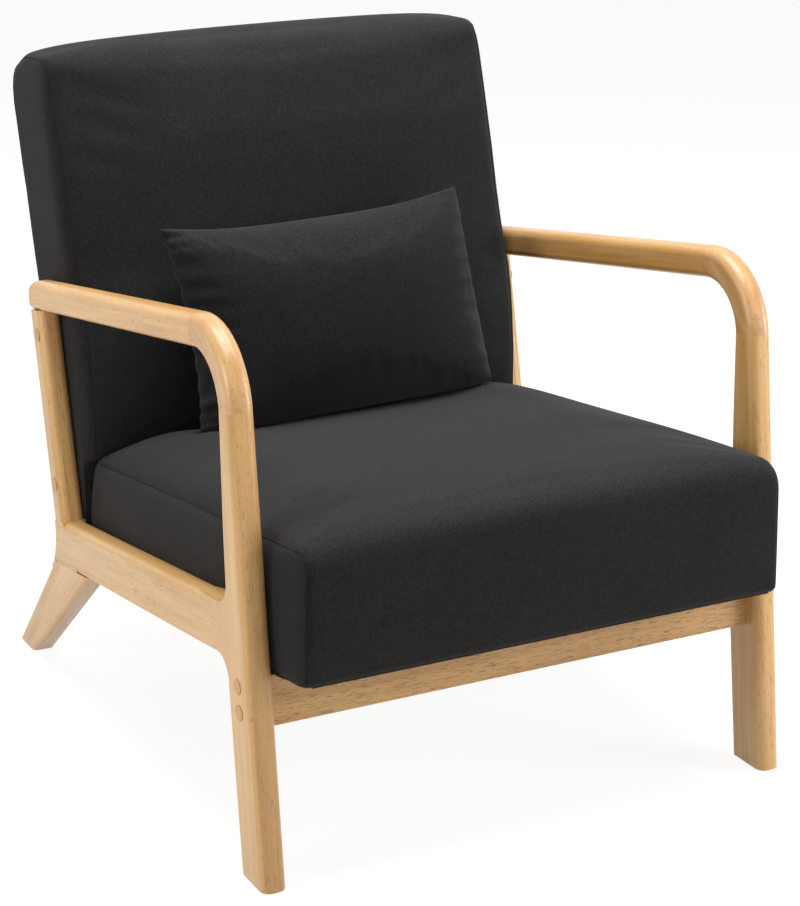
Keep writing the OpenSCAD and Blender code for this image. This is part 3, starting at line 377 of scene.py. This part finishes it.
def puffed(obj, held, cap, pressure=4.0, slack=0.0, frames=14):
    """Swells the closed cover by cloth simulation; held is 1 where it is nailed or sewn fast, and
    no point moves further than its cap. Slack is how much wider the cloth is cut than the form"""
    before = coords(obj)
    group = obj.vertex_groups.new(name="held")
    weights = np.round(held(before), 2)
    for level in np.unique(weights[weights > 0]):
        group.add(np.nonzero(weights == level)[0].tolist(), float(level), "REPLACE")
    cloth = obj.modifiers.new("cloth", "CLOTH").settings
    cloth.quality, cloth.mass, cloth.air_damping = 5, 0.3, 1.0
    cloth.tension_stiffness = cloth.compression_stiffness = 12
    cloth.shear_stiffness, cloth.bending_stiffness = 5, 0.6
    cloth.vertex_group_mass = "held"
    cloth.shrink_min = -slack
    cloth.use_pressure, cloth.uniform_pressure_force = True, pressure
    cloth.effector_weights.gravity = 0
    for frame_number in range(1, frames + 1):
        scene.frame_set(frame_number)
    after = np.empty(len(before) * 3, np.float32)
    obj.evaluated_get(bpy.context.evaluated_depsgraph_get()).data.vertices.foreach_get("co", after)
    move = after.reshape(-1, 3) - before
    size = np.linalg.norm(move, axis=1, keepdims=True)
    limit = cap(before)[:, None]
    move *= np.tanh(size / limit) * limit / np.maximum(size, 1e-9)
    obj.modifiers.clear()
    obj.vertex_groups.clear()
    put(obj, before + move)
    scene.frame_set(1)


def finer(obj):
    """Subdivides the cover once, smoothly, and applies it"""
    smooth = obj.modifiers.new("finer", "SUBSURF")
    smooth.levels = smooth.render_levels = 1
    mesh = bpy.data.meshes.new_from_object(obj.evaluated_get(bpy.context.evaluated_depsgraph_get()))
    old = obj.data
    obj.modifiers.clear()
    obj.data = mesh
    bpy.data.meshes.remove(old)
    mesh.polygons.foreach_set("use_smooth", np.ones(len(mesh.polygons), bool))


def along_seam(points, line, width):
    """1 at the points on the seam, a dense line, fading over the width; worked out in blocks"""
    apart = np.concatenate([np.sqrt(((block[:, None] - line[None]) ** 2).sum(-1).min(1))
                            for block in np.array_split(points, max(1, len(points) // 2000))])
    return np.exp(-(apart / width) ** 2)


def sunk(obj, depth):
    """Moves each point in along its normal by its depth"""
    normals = np.empty(len(depth) * 3, np.float32)
    obj.data.vertices.foreach_get("normal", normals)
    put(obj, coords(obj) - normals.reshape(-1, 3) * depth[:, None])


def sewn(obj, line, depth=0.0022, width=0.004):
    """Pulls the cover in along a seam: a narrow groove that fades over the width"""
    sunk(obj, depth * along_seam(coords(obj), line, width))


def on_cover(obj, line):
    """The line's points moved to the nearest points of the cover"""
    tree = BVHTree.FromObject(obj, bpy.context.evaluated_depsgraph_get())
    return np.array([tree.find_nearest(p)[0][:] for p in line])


def seam_cord(name, line, radius=0.0008):
    """A thin round thread carried along the closed seam, a hexagon at each point"""
    along = np.roll(line, -1, axis=0) - np.roll(line, 1, axis=0)
    along /= np.linalg.norm(along, axis=1)[:, None]
    up = np.cross(along, (0.31, 0.47, 0.83))
    up /= np.linalg.norm(up, axis=1)[:, None]
    side = np.cross(along, up)
    a = np.linspace(0, 2 * math.pi, 6, endpoint=False)[None, :, None]
    rings = line[:, None] + radius * (np.cos(a) * up[:, None] + np.sin(a) * side[:, None])
    obj = sheet_mesh(name, rings.reshape(-1, 3).tolist(), net(len(line), 6, True, True).tolist())
    outward(obj)
    return obj


def threaded(name, cover, seams):
    """A sewing thread along each of the cover's two side seams"""
    for side, seam in zip(("left", "right"), seams):
        cord = seam_cord(f"{name}_seam_{side}", on_cover(cover, seam))
        cord.data.materials.append(thread)
        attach(cord, "chair")


charcoal = woven("charcoal_weave", (0.0183, 0.019, 0.0216), (0.0033, 0.0034, 0.004))
thread = woven("seam_thread", (0.012, 0.012, 0.013), (0.004, 0.004, 0.0045), 0.0011)
held_width = 0.012  # the cloth is held this far on both sides of a seam

seat_front, seat_rear, seat_half, seat_height = -0.3984, 0.1983, 0.2785, 0.144
seat_toe, seat_toe_height = -0.37243, 0.229  # a point of the underside, which falls to the rear
seat_fall = math.tan(math.radians(8))
seat_low = lambda y: seat_toe_height - (y - seat_toe) * seat_fall
seat_tilt = lambda x: 0.0025 * (x / seat_half + 1)
seat_line = corner_line([(seat_front, 0.0), (seat_rear, 0.0), (seat_rear, seat_height),
                         (seat_front, seat_height)], (0.004, 0.006, 0.007, 0.027))


def seat_crown(line):
    """Swell of the long panel: most on the top, a little on the front, none under or behind"""
    y, z = line[:, 0], line[:, 1]
    run = np.clip((y - seat_front) / (seat_rear - seat_front), 0, 1)
    top = 0.0405 * (np.clip(run * (1 - run) * 4, 0, 1) ** 0.5) * (z > 0.11)
    front = 0.0035 * np.sin(np.clip(z / seat_height, 0, 1) * math.pi) * (y < seat_front + 0.02)
    return top + front


def seat_width(line):
    """Half the width between the side seams: a little more at both ends, and more under the
    cushion and half-way up its rear, where the foam pushes the cover out"""
    y, z = line[:, 0], line[:, 1]
    halfway = np.sin(np.clip(z / seat_height, 0, 1) * math.pi)
    front = np.clip(1 - (y - seat_front) / 0.25, 0, 1) * (0.0035 + 0.004 * (1 - z / seat_height))
    rear = np.clip((y - (seat_rear - 0.1)) / 0.1, 0, 1) ** 2 * 0.003
    rear += np.clip((y - seat_rear + 0.006) / 0.006, 0, 1) * 0.009 * halfway
    ends = np.clip(np.minimum(y - seat_front, seat_rear - y) / 0.05, 0, 1)
    below = np.clip((0.01 - z) / 0.01, 0, 1) * ends
    return seat_half + rear + np.maximum(front, 0.010 * below)


def seat_swell(near):
    """The side panels bulge towards the side frames, rounded off at the front and rear ends"""
    ends = np.clip(np.minimum((near[..., 0] - seat_front) / 0.03, (seat_rear - near[..., 0]) / 0.01), 0, 1)
    rise = np.clip(near[..., 1] / seat_height, 0, 1)
    bulge = np.clip(1 - np.abs(rise * 2 - 0.8) ** 3 / 1.728, 0, 1) ** 0.6
    return 0.0120 * bulge * (1 - (1 - ends) ** 2.2) ** 0.5


def above_underside(co):
    return co[:, 2] - seat_low(co[:, 1])


def seat_held(co):
    """Held along the seams and on the underside, where the cover is stapled to the frame"""
    return np.clip(np.maximum(along_seam(co, np.concatenate(seat_seams), held_width),
                              (above_underside(co) < 0.012) * 1.0), 0, 1)


def seat_cap(co):
    """How far the simulation may move the cover: a little more at the sides"""
    return np.where(np.abs(co[:, 0]) > seat_half - 0.004, 0.0015, 0.0012)


# The flat-bottomed form is plumper near its rear corners, most at the right, then sheared to the fall.
seat = boxed("seat_cushion", seat_line, seat_width, seat_crown, seat_swell, (4.0, 0.5))
co = coords(seat)
shoulder = np.exp(-((np.abs(co[:, 0]) - 0.21) / 0.06) ** 2 - ((co[:, 1] - 0.13) / 0.16) ** 2)
plump = (0.0135 + 0.007 * co[:, 0]) * shoulder + seat_tilt(co[:, 0])
co[:, 2] += np.clip(co[:, 2] / seat_height, 0, 1) * plump
co[:, 2] += seat_low(co[:, 1])
put(seat, co)
seat_seams = []
for s in (-1, 1):
    lifted = seat_line[:, 1] * (1 + seat_tilt(s * seat_half) / seat_height)
    seat_seams.append(np.stack([s * seat_width(seat_line), seat_line[:, 0],
                                lifted + seat_low(seat_line[:, 0])], axis=1))
puffed(seat, seat_held, seat_cap)
# Under the frame the cover stays above the dust cloth, and its rear edge reaches below the bar.
co = coords(seat)
under = ((above_underside(co) < 0.02) & (np.abs(co[:, 0]) < 0.2725) & (co[:, 1] > seat_front + 0.005)
         & (co[:, 1] < seat_rear - 0.004))
co[under, 2] = seat_low(co[under, 1]) + 0.003
put(seat, co)
finer(seat)
co = coords(seat)
over = above_underside(co)
lip = (over < 0.006) & (co[:, 1] > seat_rear - 0.0068)
co[lip, 1] += 0.001
co[lip, 2] = seat_low(co[lip, 1]) + np.maximum(over[lip] - 0.0032, 0)
put(seat, co)
for seam in seat_seams:
    sewn(seat, seam)
seat.data.materials.append(charcoal)
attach(seat, "chair")
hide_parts("seat_cover", "seat_foam")
threaded("seat", seat, seat_seams)


# ---- Back cushion -----------------------------------------------------------------------------
# Foam over webbing on a wooden frame, in the same weave: one panel over the front and the top,
# side panels that wrap the boards between the rear posts, and a flat panel nailed over the rear.
back_half, back_low, back_foot = 0.285, 0.172, 0.19887  # half width, height and front of its low end
back_bend = 0.295  # the height of its front edge over the seat, where the front stands out
back_lean = math.tan(math.radians(15.6))
back_rear = lambda z: 0.31157 + (z - 0.4) * back_lean
front_heights = np.array([0.303, 0.353, 0.4033, 0.4389, 0.4681, 0.5148, 0.5726, 0.6264, 0.7075, 0.742])
front_depths = 0.125 * np.array([0.82, 0.935, 1.008, 1.046, 1.056, 1.005, 0.99, 1.0, 0.982, 0.97])
back_front = lambda z: np.where(z < back_bend, back_foot,
                                back_rear(z) - np.interp(z, front_heights, front_depths))
fronts = [(float(back_front(z)), float(z)) for z in front_heights[::-1]]
back_line = corner_line([(back_foot, back_low), (float(back_rear(back_low)), back_low),
                         (float(back_rear(0.735)), 0.735), (0.36, 0.7585), (0.2915, 0.7615)]
                        + fronts + [(back_foot, 0.291)],
                        (0.003, 0.003, 0.018, 0.05, 0.022) + (0.004,) * len(fronts) + (0.003,))


def back_crown(line):
    """Swell of the long panel: over the whole front above the seat and over the top"""
    y, z = line[:, 0], line[:, 1]
    ahead = (y < back_front(np.minimum(z, 0.742)) + 0.03) | (z > 0.722)
    rise = np.clip((z - back_bend) / 0.13, 0, 1) ** 0.6
    full = 0.0215 - 0.0105 * np.clip((z - 0.66) / 0.08, 0, 1)
    return full * rise * np.clip((back_rear(z) - 0.002 - y) / 0.032, 0, 1) ** 0.5 * ahead


def back_width(line):
    """Half the width between the side seams: narrow at the front edge, full behind it and low down,
    where the boards come to the front, and narrower again at the top"""
    y, z = line[:, 0], line[:, 1]
    full = np.clip((y - back_front(z)) / 0.0275, 0, 1) ** 0.7
    full = np.maximum(full, 1 - np.clip((z - back_bend) / 0.008, 0, 1))
    return back_half + 0.0090 * full * np.clip(1 - (z - 0.70) / 0.058 * 0.5, 0.5, 1)


def back_tilt(points):
    """The stuffing sits a little lower at the top left and higher at the top right"""
    return 0.0035 * points[:, 0] / 0.29 * np.clip((points[:, 2] - 0.6) / 0.13, 0, 1)


def back_held(co):
    """Nailed round the boards: the sides, the underside, the rear and the part behind the seat"""
    rear_gap = back_rear(co[:, 2]) - co[:, 1]
    fast = (rear_gap < 0.085) & (co[:, 2] < 0.725) | (co[:, 2] < 0.31) | (np.abs(co[:, 0]) > 0.29)
    return np.clip(np.maximum(along_seam(co, np.concatenate(back_seams), held_width), fast * 1.0), 0, 1)


def back_cap(co):
    """How far the simulation may move the cover: little near the seat, more from the middle up"""
    return np.interp(co[:, 2], (0.32, 0.55), (0.0008, 0.005))


# The front's lower edge arches up over the middle of the seat.
back = boxed("back_cushion", back_line, back_width, back_crown,
             lambda near: np.zeros(near.shape[:-1]), (6.5, 0.7))
co = coords(back)
lip = (np.clip((0.36 - co[:, 2]) / 0.057, 0, 1) * np.clip((co[:, 2] - 0.28) / 0.015, 0, 1)
       * (co[:, 1] < 0.199))
co[:, 2] += back_tilt(co) + 0.010 * lip * np.clip(1 - (co[:, 0] / back_half) ** 4, 0, 1) ** 0.5
put(back, co)
back_seams = [np.stack([s * back_width(back_line), back_line[:, 0], back_line[:, 1]], axis=1)
              for s in (-1, 1)]
for seam in back_seams:
    seam[:, 2] += back_tilt(seam)
puffed(back, back_held, back_cap)
finer(back)
for seam in back_seams:
    sewn(back, seam, 0.0011)
# Inside the borders of the flat rear panel, a CAD node, the cover lies behind that panel.
co = coords(back)
panel = ((np.abs(co[:, 0]) < 0.2880) & (co[:, 2] < 0.7115) & (co[:, 2] > 0.1785)
         & (back_rear(co[:, 2]) - co[:, 1] < 0.006))
co[panel, 1] = back_rear(co[panel, 2]) - 0.0045
put(back, co)
back.data.materials.append(charcoal)
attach(back, "chair")
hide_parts("back_cover", "back_foam")
threaded("back", back, back_seams)
coat("back_rear_panel", charcoal)


# ---- Lumbar pillow ----------------------------------------------------------------------------
# A loose feather pillow: two equal panels sewn all round, drawn in between the corners, with folds
# at the corners and creases in from the side seams. It stands on the seat, leans on the back and
# dents both.
low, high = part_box("pillow_cover")
pillow_at = (np.array(low) + np.array(high)) / 2
pillow_size = (0.397, 0.110, 0.252)
pillow_shift, pillow_drop, pillow_skew = 0.0015, 0.0065, 0.042  # how far it has settled and leans over
lean, roll = math.radians(-16), math.radians(-1.6)
tilt = (np.array([[1, 0, 0], [0, math.cos(lean), -math.sin(lean)], [0, math.sin(lean), math.cos(lean)]])
        @ np.array([[math.cos(roll), 0, math.sin(roll)], [0, 1, 0], [-math.sin(roll), 0, math.cos(roll)]]))


def pillow_half(u, v):
    """Half the filled pillow's thickness: nothing at the seam, full in the middle"""
    return pillow_size[1] / 2 * ((1 - np.abs(u) ** 2.6) * (1 - np.abs(v) ** 2.6)) ** 0.56


def pillow_panel(u, v, face):
    """The panel over u, v in -1 to 1, face -1 in front and 1 behind: the top and the left side are
    drawn in between the corners, and gathers run in from the side seams and from the corners"""
    corner = np.abs(u * v) ** 16
    x = u * pillow_size[0] / 2 * (1 - (0.045 - 0.03 * u) * (1 - np.abs(v) ** 2.5) - 0.012 * corner)
    z = v * pillow_size[2] / 2 * (1 - (0.06 + 0.065 * v) * (1 - np.abs(u) ** 3.2) - 0.02 * corner)
    y = pillow_half(u, v)
    inset = 1 - np.abs(u)
    pucker = (0.003 - 0.0012 * u) * np.sin(v * 27 + 1.5 * np.sin(v * 5 + face)) * np.exp(-inset / 0.08)
    pucker = pucker * (1 - np.exp(-inset / 0.02))
    fold = 0
    for cu, cv in ((-1, -1), (-1, 1), (1, -1), (1, 1)):
        du, dv = (u - cu) * pillow_size[0], (v - cv) * pillow_size[2]
        away, turn = np.hypot(du, dv), np.arctan2(np.abs(dv), np.abs(du))
        reach = 0.05 if cu < 0 else 0.032
        fold = fold + ((0.0026 - 0.001 * cu) * np.sin(turn * 17 + cu + 2 * cv)
                       * np.exp(-(away / reach) ** 2) * np.clip(away / 0.02, 0, 1))
    y = face * (y + (pucker + fold) * np.clip(y / 0.012, 0, 1))
    return np.stack([x + pillow_shift - pillow_skew * z, y, z - pillow_drop], axis=-1)


def placed(points):
    return points @ tilt.T + pillow_at


def in_pillow(points):
    """The points in the pillow's own axes, and their places u, v across its panels"""
    q = (points - pillow_at) @ tilt
    z = q[:, 2] + pillow_drop
    return q, (q[:, 0] - pillow_shift + pillow_skew * z) / pillow_size[0] * 2, z / pillow_size[2] * 2


def gathered(depth=0.0024):
    """Short creases that run in from the pillow's side seams, deeper at the left"""
    _, u, v = in_pillow(coords(pillow))
    inset = np.clip(1 - np.abs(u), 0, 1)
    crease = (1 - np.abs(np.sin(22 * v + 1.2 * np.sin(7 * v)))) ** 0.8
    near_seam = np.exp(-(inset / 0.16) ** 2) * (1 - np.exp(-inset / 0.02))
    sunk(pillow, depth * (0.65 - 0.35 * u) * crease * near_seam)


def pressed(obj, axis, ease=0.0015):
    """Dents the cover where the pillow touches it: points inside the pillow's form move out of it,
    along the pillow's own Y to the rear (axis 1) or along its own Z to below its lower seam (2)"""
    q, u, v = in_pillow(coords(obj))
    inside = (np.abs(u) < 1) & (np.abs(v) < 1)
    half = pillow_half(u * inside, v * inside) + ease
    hit = inside & (np.abs(q[:, 1]) < half)
    q[hit, axis] = half[hit] if axis == 1 else -pillow_size[2] / 2 - pillow_drop - ease / 3
    put(obj, placed(q))


across, up = 91, 61  # points of the net over each panel
u, v = np.meshgrid(np.linspace(-1, 1, across), np.linspace(-1, 1, up), indexing="ij")
quads = net(across, up, False, False)
panels = np.concatenate([placed(pillow_panel(u, v, face)).reshape(-1, 3) for face in (-1, 1)])
pillow = sheet_mesh("lumbar_pillow", panels.tolist(),
                    quads.tolist() + (quads[:, ::-1] + across * up).tolist())
t = np.linspace(-1, 1, 81)[:-1]
end = np.ones(len(t))
rim = np.concatenate([np.stack(pair, 1) for pair in ((t, -end), (end, t), (-t, end), (-end, -t))])
pillow_seam = placed(pillow_panel(rim[:, 0], rim[:, 1], 0.0))
outward(pillow)
puffed(pillow, lambda co: along_seam(co, pillow_seam, 0.006), lambda co: np.full(len(co), 0.002),
       slack=0.02)
finer(pillow)
gathered()
sewn(pillow, pillow_seam, 0.001, 0.003)
pressed(back, 1)
pressed(seat, 2)
pillow.data.materials.append(charcoal)
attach(pillow, "pillow")
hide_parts("pillow_cover", "pillow_filling")


# ---- Inner frame, springs and fixings ---------------------------------------------------------
# Softwood bars and boards, dowels, webbing, sinuous springs in plastic clips, zinc-plated bolts,
# nuts, brackets and screws, and a black dust cloth stapled under the seat.
inner_ways = {"seat_front_bar": (1, 0, 0), "seat_rear_bar": (1, 0, 0), "seat_left_bar": slope(-8),
              "seat_right_bar": slope(-8), "seat_corner_blocks": (1, 1, 0), "back_left_board": slope(74),
              "back_right_board": slope(74), "back_top_bar": (1, 0, 0), "back_bottom_bar": (1, 0, 0),
              "left_frame_dowels": (0, 1, 0), "right_frame_dowels": (0, 1, 0)}
for i, (node, way) in enumerate(inner_ways.items()):
    coat(node, lacquered(f"{node}_wood", way, 70.0 + 2.3 * i, (0.68, 0.5, 0.3), (0.55, 0.37, 0.19),
                         pores=0.2))


def plated(name, tone, roughness):
    """Bare metal: one grey with fine rolled streaks in its tone and roughness"""
    metal, shader, where = finish_of(name, roughness, Metallic=1.0)
    rolled = where.noise(420.0, 3.0)
    feed(shader.inputs["Base Color"], rolled.mix([k * 0.86 for k in tone], tone))
    feed(shader.inputs["Roughness"], roughness + (rolled - 0.5) * 0.2)
    return metal


zinc = plated("zinc_plate", (0.66, 0.67, 0.69), 0.3)
spring_wire = plated("spring_wire", (0.5, 0.49, 0.47), 0.38)
for node in ("front_rail_bolts", "front_rail_nuts", "back_bolts", "back_insert_nuts", "seat_brackets",
             "bracket_screws", "seat_back_bolts"):
    coat(node, zinc)
coat("seat_springs", spring_wire)
coat("spring_clips", glide)
coat("seat_dust_cover", woven("dust_cloth", (0.03, 0.03, 0.031), (0.012, 0.012, 0.012), 0.0021))
coat("back_webbing", woven("strap_weave", (0.2, 0.17, 0.13), (0.1, 0.08, 0.06), 0.0025))
